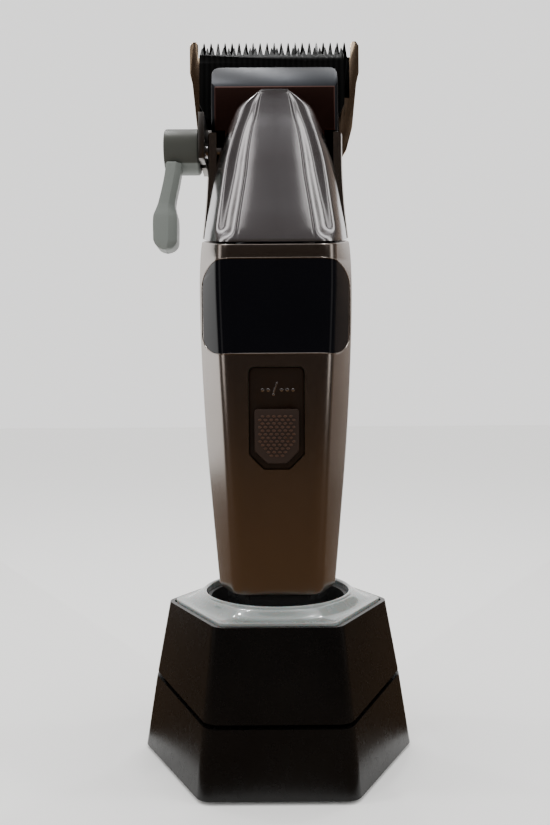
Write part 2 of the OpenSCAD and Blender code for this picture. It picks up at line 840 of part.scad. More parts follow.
module blade_screws() {
    y1 = fixed_y + fixed_t;
    color(steel) for (x = [-blade_screw_x, blade_screw_x]) difference() {
        union() {
            rod_y(y1, y1 + 1.4, 2.9, x, blade_screw_z);
            rod_y(cutter_y + 0.1, y1 + 1, 1.5, x, blade_screw_z);
        }
        for (a = [0, 90]) translate([x, y1 + 0.6, blade_screw_z]) rotate([0, a, 0])
            translate([-1.8, 0, -0.35]) cube([3.6, 2, 0.7]);
    }
}

// ---- taper lever ----
// The arm's middle line and half-sizes: x, y, z, half-thickness, half-depth
arm_path = [
    [-25.6, -3.4, 151.2, 1.9, 2.8],
    [-26.2, -4.0, 146, 1.9, 2.6],
    [-27.45, -4.6, 140.2, 2, 2.7],
    [-27.7, -4.8, 137, 2.9, 3.6],
    [-27.7, -5.0, 131, 2.9, 3.8]
];

module arm_section(p) {
    for (dy = [-1, 1]) translate([p[0], p[1] + dy * (p[4] - p[3]), p[2]]) sphere(r = p[3], $fn = 24);
}

module taper_lever() {
    color([0.42, 0.43, 0.41]) difference() {
        union() {
            rod_x(hub_x0, hub_x1, hub_r, 0, axis_z);
            rod_x(hub_x1 - eps, hub_x1 + ear_t, cam_pin_r, -cam_r, axis_z);
            for (k = [0:len(arm_path) - 2]) hull() {
                arm_section(arm_path[k]);
                arm_section(arm_path[k + 1]);
            }
        }
        rod_x(hub_x0 - 1, hub_x1 + 1, axle_r + 0.05, 0, axis_z);
        rod_x(hub_x0 - 1, hub_x0 + 1.7, 3.3, 0, axis_z);
    }
}

module lever_axle() {
    color(steel) difference() {
        union() {
            rod_x(hub_x0 + 0.2, hub_x0 + 1.7, 3.1, 0, axis_z);
            rod_x(hub_x0 + 1, -12, axle_r, 0, axis_z);
        }
        translate([hub_x0 - 1, 0, axis_z]) rotate([0, 90, 0]) cylinder(h = 2, r = 1.5, $fn = 6);
    }
}

dock_lower_shell();
dock_upper_shell();
dock_light_ring();
dock_socket_cup();
dock_base_plate();
dock_rubber_feet();
dock_base_screws();
dock_ballast();
dock_board();
dock_power_inlet();
dock_led_ring();
dock_contact_tower();
dock_pin(-pin_x);  // dock_pin_left
dock_pin(pin_x);  // dock_pin_right
front_shell();
rear_shell();
head_housing();
nose_cover();
end_cap();
charge_contacts();
charge_port();
display_window();
display_panel();
switch_plate();
switch_slider();
micro_switch();
main_board();
battery();
chassis();
housing_screws();
motor();
motor_mount();
motor_shaft();
eccentric();
shaft_bearing();
blade_base();
cutter_spring();
cutter_blade();
cutter_driver();
fixed_blade();
blade_carrier();
blade_screws();
taper_lever();
lever_axle();
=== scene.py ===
"""Looks of the hair clipper in its charging dock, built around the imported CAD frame.

Every visible shell is a smooth mesh worked out from the same few sizes as the CAD, and each one
rides on its CAD body. Lengths are written in millimetres and turned into metres as meshes are made.
"""

import json
import math

import bmesh
import bpy
from mathutils import Matrix, Vector

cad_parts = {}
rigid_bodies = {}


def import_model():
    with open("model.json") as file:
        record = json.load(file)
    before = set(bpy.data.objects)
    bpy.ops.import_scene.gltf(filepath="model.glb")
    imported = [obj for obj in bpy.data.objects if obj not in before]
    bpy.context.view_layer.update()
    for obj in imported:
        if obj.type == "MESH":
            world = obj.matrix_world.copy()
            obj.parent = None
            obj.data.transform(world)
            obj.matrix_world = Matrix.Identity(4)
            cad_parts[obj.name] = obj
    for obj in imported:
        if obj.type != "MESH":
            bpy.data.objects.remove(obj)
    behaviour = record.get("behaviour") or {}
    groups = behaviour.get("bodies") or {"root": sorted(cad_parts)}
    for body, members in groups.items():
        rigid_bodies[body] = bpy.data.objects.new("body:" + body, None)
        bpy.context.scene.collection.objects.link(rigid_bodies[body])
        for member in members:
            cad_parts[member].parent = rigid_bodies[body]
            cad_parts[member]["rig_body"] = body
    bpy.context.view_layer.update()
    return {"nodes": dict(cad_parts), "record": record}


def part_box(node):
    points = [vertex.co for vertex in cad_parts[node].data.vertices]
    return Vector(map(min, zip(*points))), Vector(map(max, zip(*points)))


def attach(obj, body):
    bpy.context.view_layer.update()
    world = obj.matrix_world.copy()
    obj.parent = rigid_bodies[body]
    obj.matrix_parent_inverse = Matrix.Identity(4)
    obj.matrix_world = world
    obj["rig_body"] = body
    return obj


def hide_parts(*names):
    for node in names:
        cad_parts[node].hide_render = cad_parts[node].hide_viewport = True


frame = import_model()
nodes = frame["nodes"]

MM = 0.001

# ---------------------------------------------------------------- camera
CAMERA_DISTANCE = 196.0
CAMERA_HEIGHT = 88.8
CAMERA_SIDE = -0.4
CAMERA_PITCH = math.radians(-0.5)
CAMERA_ROLL = math.radians(-0.36)
LENS_MM = 32.7

camera = bpy.data.objects.new("camera", bpy.data.cameras.new("camera"))
bpy.context.scene.collection.objects.link(camera)
camera.data.lens = LENS_MM
camera.data.sensor_width = 36.0
camera.data.clip_start = 0.01
camera.location = (CAMERA_SIDE * MM, -CAMERA_DISTANCE * MM, CAMERA_HEIGHT * MM)
camera.rotation_euler = (
    Matrix.Rotation(math.radians(90.0) + CAMERA_PITCH, 3, "X") @ Matrix.Rotation(CAMERA_ROLL, 3, "Z")
).to_euler()
bpy.context.scene.camera = camera


# ---------------------------------------------------------------- outlines
def rounded(points, radii, steps):
    """A counter-clockwise outline with each corner turned into an arc of so many steps."""
    out = []
    count = len(points)
    for i, corner in enumerate(points):
        p = Vector(corner)
        a = (Vector(points[i - 1]) - p).normalized()
        b = (Vector(points[(i + 1) % count]) - p).normalized()
        half = math.acos(max(-1.0, min(1.0, a.dot(b)))) / 2
        centre = p + (a + b).normalized() * radii[i] / math.sin(half)
        start = p + a * radii[i] / math.tan(half) - centre
        begin = math.atan2(start.y, start.x)
        turn = math.pi - 2 * half
        for k in range(steps + 1):
            angle = begin + turn * k / steps
            out.append(centre + radii[i] * Vector((math.cos(angle), math.sin(angle))))
    return out


def resampled(outline, spacing):
    """The same outline with its long sides cut into short steps."""
    out = []
    for a, b in zip(outline, outline[1:] + outline[:1]):
        a, b = Vector(a), Vector(b)
        steps = max(1, round((b - a).length / spacing))
        out += [a + (b - a) * k / steps for k in range(steps)]
    return out


def ease(t):
    t = min(1.0, max(0.0, t))
    return t * t * (3 - 2 * t)


def smooth_column(table, z, column):
    """A cubic through one column of a table whose first column is the height."""
    last = len(table) - 1
    i = max([0] + [k for k in range(last) if table[k][0] <= z])
    p0, p1 = table[max(i - 1, 0)], table[i]
    p2, p3 = table[min(i + 1, last)], table[min(i + 2, last)]
    span = p2[0] - p1[0]
    t = min(1.0, max(0.0, (z - p1[0]) / span))
    m1 = (p2[column] - p0[column]) / (p2[0] - p0[0]) * span
    m2 = (p3[column] - p1[column]) / (p3[0] - p1[0]) * span
    return (
        (2 * t**3 - 3 * t**2 + 1) * p1[column]
        + (t**3 - 2 * t**2 + t) * m1
        + (3 * t**2 - 2 * t**3) * p2[column]
        + (t**3 - t**2) * m2
    )


# ---------------------------------------------------------------- meshes
def new_piece(name, verts, faces, body, smooth=math.radians(35)):
    """A mesh piece from points in millimetres, riding on a body, smooth up to an angle."""
    mesh = bpy.data.meshes.new(name)
    mesh.from_pydata([tuple(c * MM for c in v) for v in verts], [], faces)
    bm = bmesh.new()
    bm.from_mesh(mesh)
    bmesh.ops.remove_doubles(bm, verts=bm.verts, dist=1e-7)
    bmesh.ops.recalc_face_normals(bm, faces=bm.faces)
    bm.to_mesh(mesh)
    bm.free()
    obj = bpy.data.objects.new(name, mesh)
    bpy.context.scene.collection.objects.link(obj)
    smooth_by_angle(obj, smooth)
    if body:
        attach(obj, body)
    return obj


def smooth_by_angle(obj, angle):
    mesh = obj.data
    mesh.shade_smooth()
    mesh.set_sharp_from_angle(angle=angle)


def grid_faces(rows, columns, closed_columns=True, closed_rows=False, start=0):
    faces = []
    for j in range(rows if closed_rows else rows - 1):
        for i in range(columns if closed_columns else columns - 1):
            a = start + j * columns + i
            b = start + j * columns + (i + 1) % columns
            c = start + (j + 1) % rows * columns + (i + 1) % columns
            d = start + (j + 1) % rows * columns + i
            faces.append((a, b, c, d))
    return faces


def lofted(name, rings, body, ring_closed=False, caps=True, **options):
    """A skin through rings of equally many points; closed into a tube, or capped at its two ends."""
    count = len(rings[0])
    verts = [p for ring in rings for p in ring]
    faces = grid_faces(len(rings), count, closed_rows=ring_closed)
    if caps and not ring_closed:
        faces.append(tuple(range(count - 1, -1, -1)))
        faces.append(tuple((len(rings) - 1) * count + i for i in range(count)))
    return new_piece(name, verts, faces, body, **options)


def box_cutter(low, high):
    verts = [(x, y, z) for x in (low[0], high[0]) for y in (low[1], high[1]) for z in (low[2], high[2])]
    faces = [(0, 1, 3, 2), (4, 6, 7, 5), (0, 4, 5, 1), (2, 3, 7, 6), (0, 2, 6, 4), (1, 5, 7, 3)]
    return new_piece("cutter", verts, faces, None)


def prism_cutter(outline, low, high, place):
    """A flat outline in X and Z, made thick along Y from low to high, then put in place."""
    rings = [[place @ Vector((p[0], y, p[1])) for p in outline] for y in (low, high)]
    return lofted("cutter", rings, None)


def boolean(obj, other, operation="DIFFERENCE"):
    """Cuts obj by other, or keeps what they share, and removes other."""
    modifier = obj.modifiers.new("cut", "BOOLEAN")
    modifier.operation = operation
    modifier.solver = "EXACT"
    modifier.object = other
    apply_modifiers(obj)
    bpy.data.objects.remove(other)
    return obj


def apply_modifiers(obj):
    bpy.context.view_layer.update()
    evaluated = obj.evaluated_get(bpy.context.evaluated_depsgraph_get())
    mesh = bpy.data.meshes.new_from_object(evaluated)
    obj.modifiers.clear()
    obj.data = mesh


def fine_copy(node, width, segments=3, angle=25):
    """A copy of a CAD node with its flat faces joined and its sharp edges rounded."""
    source = nodes[node]
    mesh = source.data.copy()
    bm = bmesh.new()
    bm.from_mesh(mesh)
    bmesh.ops.remove_doubles(bm, verts=bm.verts, dist=1e-6)
    bmesh.ops.dissolve_limit(bm, angle_limit=math.radians(0.8), verts=bm.verts, edges=bm.edges)
    bm.to_mesh(mesh)
    bm.free()
    mesh.materials.clear()
    obj = bpy.data.objects.new(node + "_fine", mesh)
    bpy.context.scene.collection.objects.link(obj)
    modifier = obj.modifiers.new("round", "BEVEL")
    modifier.width = width * MM
    modifier.segments = segments
    modifier.limit_method = "ANGLE"
    modifier.angle_limit = math.radians(angle)
    modifier.use_clamp_overlap = True
    modifier.harden_normals = True
    apply_modifiers(obj)
    smooth_by_angle(obj, math.radians(40))
    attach(obj, source["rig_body"])
    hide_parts(node)
    return obj


def swept(name, path, radius, body, closed=True, sides=10):
    """A round bead along a path of points."""
    count = len(path)
    rings = []
    for i, p in enumerate(path):
        ahead = path[(i + 1) % count] if closed or i < count - 1 else p
        behind = path[i - 1] if closed or i > 0 else p
        along = (Vector(ahead) - Vector(behind)).normalized()
        side = along.cross(Vector((0.31, -0.2, 0.93))).normalized()
        up = along.cross(side)
        rings.append(
            [
                Vector(p) + radius * (math.cos(a) * side + math.sin(a) * up)
                for a in (2 * math.pi * k / sides for k in range(sides))
            ]
        )
    return lofted(name, rings, body, ring_closed=closed)


# ---------------------------------------------------------------- materials
class Nodes:
    """A short way to write a material's nodes."""

    def __init__(self, name):
        self.material = bpy.data.materials.new(name)
        self.material.use_nodes = True
        self.tree = self.material.node_tree
        self.shader = self.tree.nodes["Principled BSDF"]
        self.place = self.add("ShaderNodeTexCoord").outputs["Object"]

    def add(self, kind, **values):
        node = self.tree.nodes.new(kind)
        for key, value in values.items():
            setattr(node, key, value)
        return node

    def link(self, source, target):
        self.tree.links.new(source, target)

    def stretched(self, scale):
        mapping = self.add("ShaderNodeMapping")
        self.link(self.place, mapping.inputs["Vector"])
        mapping.inputs["Scale"].default_value = scale
        return mapping.outputs["Vector"]

    def noise(self, scale, detail=3.0, rough=0.5, stretch=(1, 1, 1)):
        node = self.add("ShaderNodeTexNoise")
        self.link(self.stretched(stretch), node.inputs["Vector"])
        node.inputs["Scale"].default_value = scale
        node.inputs["Detail"].default_value = detail
        node.inputs["Roughness"].default_value = rough
        return node.outputs["Fac"]

    def span(self, source, low, high, from_low=0.3, from_high=0.7):
        node = self.add("ShaderNodeMapRange")
        self.link(source, node.inputs["Value"])
        node.inputs["From Min"].default_value = from_low
        node.inputs["From Max"].default_value = from_high
        node.inputs["To Min"].default_value = low
        node.inputs["To Max"].default_value = high
        return node.outputs["Result"]

    def math(self, operation, first, second=0.0):
        node = self.add("ShaderNodeMath", operation=operation)
        for socket, value in zip(node.inputs, (first, second)):
            if isinstance(value, float):
                socket.default_value = value
            else:
                self.link(value, socket)
        return node.outputs["Value"]

    def axis(self, name):
        node = self.add("ShaderNodeSeparateXYZ")
        self.link(self.place, node.inputs["Vector"])
        return node.outputs[name]

    def blend_colour(self, factor, first, second):
        node = self.add("ShaderNodeMix", data_type="RGBA")
        self.link(factor, node.inputs["Factor"])
        for socket, colour in (("A", first), ("B", second)):
            if isinstance(colour, tuple):
                node.inputs[socket].default_value = (*colour, 1)
            else:
                self.link(colour, node.inputs[socket])
        return node.outputs["Result"]

    def bump(self, height, distance, strength=1.0, before=None):
        node = self.add("ShaderNodeBump")
        self.link(height, node.inputs["Height"])
        node.inputs["Distance"].default_value = distance
        node.inputs["Strength"].default_value = strength
        if before:
            self.link(before, node.inputs["Normal"])
        return node.outputs["Normal"]

    def set(self, **values):
        for key, value in values.items():
            self.shader.inputs[key.replace("_", " ")].default_value = value


def darker(colour, share):
    return tuple(c * share for c in colour)


def satin_metal(name, colour, rough, grain=(1, 1, 1), grain_scale=2600.0, grain_depth=4e-6, metallic=1.0):
    """Plated or anodised metal: a soft sheen that varies, fine grain, and faint marks."""
    n = Nodes(name)
    cloud = n.noise(90.0, detail=4.0)
    n.link(n.blend_colour(n.span(cloud, 0, 1), colour, darker(colour, 0.95)), n.shader.inputs["Base Color"])
    streak = n.noise(grain_scale, detail=2.0, stretch=grain)
    n.link(n.span(n.noise(900.0, detail=2.0), rough * 0.95, rough * 1.06), n.shader.inputs["Roughness"])
    n.link(n.bump(streak, grain_depth, 0.35), n.shader.inputs["Normal"])
    n.set(Metallic=metallic)
    return n.material


def moulded(name, colour, rough, texture_depth=6e-6, texture_scale=2200.0, sheen_colour=None, specular=0.5):
    """Moulded plastic: a fine spark-eroded skin with a soft, uneven sheen."""
    n = Nodes(name)
    other = sheen_colour or darker(colour, 0.8)
    n.link(n.blend_colour(n.span(n.noise(60.0), 0, 1), colour, other), n.shader.inputs["Base Color"])
    n.link(n.span(n.noise(400.0, detail=4.0), rough * 0.9, rough * 1.12), n.shader.inputs["Roughness"])
    n.link(n.bump(n.noise(texture_scale, detail=2.0), texture_depth, 0.5), n.shader.inputs["Normal"])
    n.set(Specular_IOR_Level=specular)
    return n.material


def glossy(name, colour, rough=0.04, coat=1.0):
    """Polished dark panel: nearly flat, with the faint waviness and dust of real glass."""
    n = Nodes(name)
    n.link(n.span(n.noise(700.0, detail=6.0, rough=0.7), rough, rough * 2.2), n.shader.inputs["Roughness"])
    n.link(n.blend_colour(n.noise(45.0), colour, darker(colour, 0.6)), n.shader.inputs["Base Color"])
    n.link(n.bump(n.noise(35.0, detail=1.0), 2.5e-6, 0.3), n.shader.inputs["Normal"])
    n.set(Coat_Weight=coat, Coat_Roughness=0.02, Coat_IOR=1.3, Specular_IOR_Level=0.1, IOR=1.25)
    return n.material


def frosted(name):
    """The dock's milky ring: light passes into it, and its skin is polished."""
    n = Nodes(name)
    n.link(
        n.blend_colour(n.span(n.noise(50.0), 0, 1), (0.2, 0.222, 0.215), (0.17, 0.19, 0.184)),
        n.shader.inputs["Base Color"],
    )
    n.link(n.span(n.noise(500.0, detail=4.0), 0.2, 0.3), n.shader.inputs["Roughness"])
    n.link(n.bump(n.noise(1400.0), 4e-6, 0.3), n.shader.inputs["Normal"])
    n.set(Subsurface_Weight=0.35, Subsurface_Scale=0.002, Coat_Weight=1.0, Coat_Roughness=0.03)
    return n.material


def blade_with_painted_tooth_shade(name):
    """Bronzed steel whose inner teeth and upper face are painted near black as shade; the guard teeth stay
    bright.
    """
    n = Nodes(name)
    x, z = n.axis("X"), n.axis("Z")
    guard = n.math("GREATER_THAN", n.math("ABSOLUTE", x), GUARD_X * MM)
    heel = n.math("MULTIPLY", n.math("GREATER_THAN", x, 17.5 * MM), n.math("LESS_THAN", z, 172.5 * MM))
    guard = n.math("MAXIMUM", guard, heel)
    # the inner teeth and upper face are painted near black as shade; the guard and heel keep the bronze
    n.link(n.blend_colour(guard, (0.006, 0.006, 0.006), (0.56, 0.43, 0.3)), n.shader.inputs["Base Color"])
    n.link(n.span(n.noise(320.0, detail=5.0), 0.16, 0.24), n.shader.inputs["Roughness"])
    n.link(n.bump(n.noise(4200.0, detail=2.0, stretch=(1, 1, 0.04)), 4e-6, 0.35), n.shader.inputs["Normal"])
    n.set(Metallic=1.0)
    return n.material


def block_with_painted_front_shade(name):
    """Brushed blue-grey bar over a front face whose very dark red-brown colour is painted shade and
    reflection.
    """
    n = Nodes(name)
    back = n.span(n.axis("Y"), 0, 1, -3.36 * MM, -3.25 * MM)
    # the front face's dark red-brown is painted shade and reflection; the bar behind it keeps the blue-grey
    n.link(n.blend_colour(back, (0.09, 0.045, 0.038), (0.013, 0.0145, 0.018)), n.shader.inputs["Base Color"])
    n.link(n.span(n.noise(900.0, detail=2.0), 0.36, 0.4), n.shader.inputs["Roughness"])
    n.link(n.bump(n.noise(5200.0, detail=1.0, stretch=(0.03, 1, 1)), 3e-6, 0.3), n.shader.inputs["Normal"])
    n.set(Metallic=1.0)
    return n.material


def lever_with_painted_barrel_shade(name):
    """Satin grey-green paint, with painted shade that makes the barrel darker than the arm below it."""
    n = Nodes(name)
    barrel = n.span(n.axis("Z"), 0, 1, 150.85 * MM, 151.1 * MM)
    # the barrel's darker grey-green is painted shade
    n.link(n.blend_colour(barrel, (0.165, 0.18, 0.168), (0.05, 0.052, 0.045)), n.shader.inputs["Base Color"])
    n.link(n.span(n.noise(900.0, detail=2.0), 0.35, 0.4), n.shader.inputs["Roughness"])
    n.link(n.bump(n.noise(3200.0, detail=2.0), 6e-6, 0.35), n.shader.inputs["Normal"])
    n.set(Metallic=0.2, Specular_IOR_Level=0.25)
    return n.material


def ridged(name, colour, rough, pitch):
    """Blackened steel with fine upright ridges at a given pitch."""
    n = Nodes(name)
    wave = n.add("ShaderNodeTexWave")
    n.link(n.place, wave.inputs["Vector"])
    wave.inputs["Scale"].default_value = math.pi / 10 / (pitch * MM)
    # the valleys between the ridges are painted darker, as shade
    n.link(n.blend_colour(wave.outputs["Fac"], darker(colour, 0.5), colour), n.shader.inputs["Base Color"])
    n.link(n.span(n.noise(320.0, detail=5.0), rough * 0.9, rough * 1.1), n.shader.inputs["Roughness"])
    n.link(n.bump(wave.outputs["Fac"], 1.2e-4, 0.6), n.shader.inputs["Normal"])
    n.set(Specular_IOR_Level=0.06)
    return n.material


# the guard teeth lie outside this distance from the middle
GUARD_X = 20.4
CUTTER_PITCH = 1.446

MATERIALS = {
    "casing_gunmetal": satin_metal("casing", (0.38, 0.34, 0.31), 0.24, grain=(1, 1, 0.12)),
    "nose_silver": satin_metal("nose", (0.56, 0.555, 0.57), 0.19, grain=(1, 1, 0.1), grain_scale=2200.0),
    "base_grey": block_with_painted_front_shade("head_block"),
    "lever_grey": lever_with_painted_barrel_shade("lever"),
    "blade_steel": blade_with_painted_tooth_shade("blade"),
    "cutter_black": ridged("cutter", (0.004, 0.004, 0.004), 0.4, CUTTER_PITCH),
    "carrier_grey": satin_metal("carrier", (0.25, 0.24, 0.23), 0.35),
    "screw_steel": satin_metal("screw", (0.55, 0.55, 0.56), 0.25),
    "port_steel": satin_metal("port", (0.62, 0.62, 0.64), 0.22),
    "ballast_steel": satin_metal("ballast", (0.4, 0.4, 0.41), 0.4),
    "motor_steel": satin_metal("motor", (0.55, 0.55, 0.56), 0.3),
    "shaft_steel": satin_metal("shaft", (0.62, 0.62, 0.63), 0.15),
    "spring_steel": satin_metal("spring", (0.5, 0.5, 0.52), 0.2),
    "contact_brass": satin_metal("contacts", (0.85, 0.62, 0.28), 0.2),
    "bearing_bronze": satin_metal("bearing", (0.6, 0.4, 0.2), 0.35),
    "dock_plastic": moulded(
        "dock", (0.0018, 0.0016, 0.0015), 0.26,
        texture_depth=3e-6, sheen_colour=(0.003, 0.0026, 0.0023), specular=0.3,
    ),
    "dock_inner": moulded("dock_inner", (0.035, 0.035, 0.035), 0.5),
    "cap_black": moulded("cap", (0.012, 0.012, 0.012), 0.25),
    "rubber_black": moulded("rubber", (0.02, 0.02, 0.02), 0.75, texture_depth=2e-5),
    "switch_black": moulded("switch_plate", (0.012, 0.006, 0.003), 0.34, specular=0.2),
    "slider_brown": moulded("slider", (0.024, 0.014, 0.01), 0.36, specular=0.25),
    "switch_body": moulded("switch_body", (0.04, 0.04, 0.045), 0.5),
    "frame_plastic": moulded("chassis", (0.06, 0.06, 0.065), 0.5),
    "driver_plastic": moulded("driver", (0.7, 0.68, 0.62), 0.45),
    "window_black": glossy("window", (0.003, 0.003, 0.004), coat=0.15),
    "display_dark": glossy("display", (0.01, 0.012, 0.014), 0.1),
    "battery_wrap": glossy("battery", (0.03, 0.07, 0.25), 0.2),
    "board_green": glossy("board", (0.02, 0.12, 0.05), 0.25),
    "led_white": glossy("led", (0.8, 0.8, 0.76), 0.3),
    "light_ring": frosted("ring"),
}

node_slots = {entry["node"]: entry["material_slot"] for entry in frame["record"]["subparts"]}


def dress(obj, slot):
    obj.data.materials.clear()
    obj.data.materials.append(MATERIALS[slot])
    return obj


def stand_in(obj, node, angle=30):
    """Finishes a free-form piece: smooth up to an angle, dressed as its CAD node is, and in its place."""
    smooth_by_angle(obj, math.radians(angle))
    dress(obj, node_slots[node])
    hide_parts(node)


def refined(node, width, segments=3, angle=25):
    """Finishes a piece kept in its CAD form: the same solid with its sharp edges rounded."""
    dress(fine_copy(node, width, segments, angle), node_slots[node])


for node_name, node_object in nodes.items():
    dress(node_object, node_slots[node_name])

# ---------------------------------------------------------------- handle
HANDLE_WIDTH = 39.5
HANDLE_BOTTOM = 42.5
SEAM_HEIGHT = 127.4
SEAM_SLOPE = math.tan(math.radians(14.4))
SEAM_FRONT = -17.6
SEAM_GAP = 0.5
FRONT_SLOPE = math.tan(math.radians(2.41))
FRONT_DEPTH = 14.0
WALL = 1.8
SPLIT = 1.0
# height, half-width as a share of the widest, flat front's and flat back's half-widths, back depth
STATIONS = [
    (42, 0.757, 10.2, 7.5, 13.4),
    (60, 0.838, 11.0, 8.5, 14.6),
    (80, 0.921, 11.9, 9.5, 15.6),
    (100, 0.977, 12.9, 10.0, 16.0),
    (118, 1.0, 13.6, 10.0, 15.4),
    (128, 0.984, 13.6, 10.0, 14.4),
    (134, 0.945, 13.2, 9.5, 13.6),
    (142, 0.904, 12.6, 9.0, 12.4),
    (150, 0.883, 12.0, 8.5, 10.8),
    (160, 0.881, 11.5, 8.0, 9.6),
]


def front_depth(z):
    return FRONT_DEPTH + (z - HANDLE_BOTTOM) * FRONT_SLOPE


def handle_outline(z, inset, steps=9):
    """The handle's outline at height z, drawn in by inset."""
    w = HANDLE_WIDTH / 2 * smooth_column(STATIONS, z, 1) - inset
    wf = smooth_column(STATIONS, z, 2) - 0.65 * inset
    wb = smooth_column(STATIONS, z, 3) - 0.44 * inset
    df = front_depth(z) - inset
    db = smooth_column(STATIONS, z, 4) - inset
    corners = [(-wf, -df), (wf, -df), (w, -2), (w, 5), (wb, db), (-wb, db), (-w, 5), (-w, -2)]
    return rounded(corners, (5, 5, 4, 5, 8, 8, 5, 4), steps)


def seam_z(y, lift=0.0):
    return SEAM_HEIGHT + lift + (y - SEAM_FRONT) * SEAM_SLOPE


def handle_ring(share, low, high, inset):
    """A ring of the handle's skin at a share of the way between two heights that may depend on y."""
    middle = low(0) + (high(0) - low(0)) * share
    guess = handle_outline(middle, inset)
    for _ in range(3):
        heights = [low(p[1]) + (high(p[1]) - low(p[1])) * share for p in guess]
        cache = {}
        for i, z in enumerate(heights):
            key = round(z, 3)
            if key not in cache:
                cache[key] = handle_outline(z, inset)
            guess[i] = cache[key][i]
    return [Vector((p[0], p[1], z)) for p, z in zip(guess, heights)]


def handle_shell(name, low, high, body, wall, rows, edge):
    """A tube of the handle's form with rounded rims, from its outer skin round to its inner one."""
    length = high(0) - low(0)
    rims = 5

    def rim(k, from_top):
        """A ring on the rounded rim, k steps from the end face."""
        turn = math.pi / 2 * k / rims
        share = edge * (1 - math.cos(turn)) / length
        return handle_ring(1 - share if from_top else share, low, high, edge * (1 - math.sin(turn)))

    outer = [
        handle_ring((edge + (length - 2 * edge) * k / rows) / length, low, high, 0) for k in range(rows + 1)
    ]
    bottom = [rim(k, False) for k in range(rims)]
    top = [rim(k, True) for k in range(rims - 1, -1, -1)]
    inner = [handle_ring(share, low, high, wall) for share in (1, 0.75, 0.5, 0.25, 0)]
    return lofted(name, bottom + outer + top + inner, body, ring_closed=True)


def handle_low(y):
    return HANDLE_BOTTOM


def front_place(z):
    """The plane of the flat front: +Y into the handle, +Z along the front, from height z."""
    return Matrix.Translation((0, -front_depth(z), z)) @ Matrix.Rotation(math.atan(FRONT_SLOPE), 4, "X")


WINDOW_HEIGHT_AT = 112.7
WINDOW_SIZE = (37.6, 22.6)
WINDOW_DEPTH = 12.2
SWITCH_AT = 85.8


def window_outline(grow, steps=10):
    w = WINDOW_SIZE[0] / 2 + grow
    h = WINDOW_SIZE[1] / 2 + grow
    return rounded([(-w, -h), (w, -h), (w, h), (-w, h)], [5.6 + grow] * 2 + [5.0 + grow] * 2, steps)


def panel_outline(width, down, up, clip, top_radius, steps=6, low_radius=1.0):
    w = width / 2
    corners = [
        (-w + clip, -down), (w - clip, -down), (w, -down + clip),
        (w, up), (-w, up), (-w, -down + clip),
    ]
    return rounded(corners, [low_radius] * 3 + [top_radius] * 2 + [low_radius], steps)


WINDOW_PLACE = front_place(WINDOW_HEIGHT_AT)
SWITCH_PLACE = front_place(SWITCH_AT)
SPLIT_GAP = 0.12

front = handle_shell("front_shell_skin", handle_low, seam_z, "clipper", WALL, 56, 0.45)
rear = front.copy()
rear.data = front.data.copy()
rear.name = "rear_shell_skin"
bpy.context.scene.collection.objects.link(rear)
boolean(front, box_cutter((-40, SPLIT - SPLIT_GAP / 2, 0), (40, 60, 200)))
boolean(front, prism_cutter(window_outline(0.12), -6, WINDOW_DEPTH + 0.12, WINDOW_PLACE))
boolean(front, prism_cutter(panel_outline(13.5, 12.4, 12.4, 3.6, 1.4), -6, 6, SWITCH_PLACE))
boolean(rear, box_cutter((-40, -60, 0), (40, SPLIT + SPLIT_GAP / 2, 200)))
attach(rear, "clipper")


def screw_recess(x, z, radius, depth):
    y = smooth_column(STATIONS, z, 4)
    turns = (2 * math.pi * k / 40 for k in range(40))
    ring = [(x + radius * math.cos(a), z + radius * math.sin(a)) for a in turns]
    return prism_cutter(ring, y - depth, y + 3, Matrix.Identity(4))


for screw_z in (53, 119):
    for screw_x in (-4.2, 4.2):
        boolean(rear, screw_recess(screw_x, screw_z, 2.1, 0.9))
stand_in(front, "front_shell")
stand_in(rear, "rear_shell")

# ---------------------------------------------------------------- display window
GLASS_LOW, GLASS_HIGH, GLASS_WALL = 98, 128, 1.4
glass_heights = range(GLASS_LOW, GLASS_HIGH + 1, 2)
glass_outer = [[Vector((*p, z)) for p in handle_outline(z, -0.05)] for z in glass_heights]
glass_inner = [[Vector((*p, z)) for p in handle_outline(z, GLASS_WALL)] for z in reversed(glass_heights)]
glass = lofted("window_glass", glass_outer + glass_inner, "clipper", ring_closed=True)
boolean(glass, prism_cutter(window_outline(0), -6, WINDOW_DEPTH, WINDOW_PLACE), "INTERSECT")
stand_in(glass, "display_window")


def skin_y(x, z):
    """Where the handle's front skin lies at a place seen from the front."""
    ring = handle_outline(z, 0)
    best = None
    for a, b in zip(ring, ring[1:] + ring[:1]):
        if (a[0] - x) * (b[0] - x) <= 0 and abs(a[0] - b[0]) > 1e-9:
            y = a[1] + (b[1] - a[1]) * (x - a[0]) / (b[0] - a[0])
            best = y if best is None else min(best, y)
    return best if best is not None else 0.0


rim_path = []
for point in resampled(window_outline(0.06), 0.8):
    at = WINDOW_PLACE @ Vector((point[0], 0, point[1]))
    rim_path.append(Vector((at.x, skin_y(at.x, at.z) + 0.02, at.z)))
window_rim = swept("window_rim", rim_path, 0.16, "clipper")
dress(window_rim, "casing_gunmetal")

# ---------------------------------------------------------------- head housing
SHOULDER = 159.0


def shoulder_z(y):
    return SHOULDER


def housing_low(y):
    return seam_z(y, SEAM_GAP)


housing = handle_shell("head_housing_skin", housing_low, shoulder_z, "clipper", 2.0, 34, 0.5)
RIM_Y = -3.5
boolean(housing, box_cutter((-40, -60, 0), (40, RIM_Y + 0.2, 200)))
boolean(housing, box_cutter((-40, 5.8, 150.5), (40, 60, 200)))
stand_in(housing, "head_housing")

# ---------------------------------------------------------------- nose cover
COVER_TOP = 169.3
COVER_WALL = 1.4
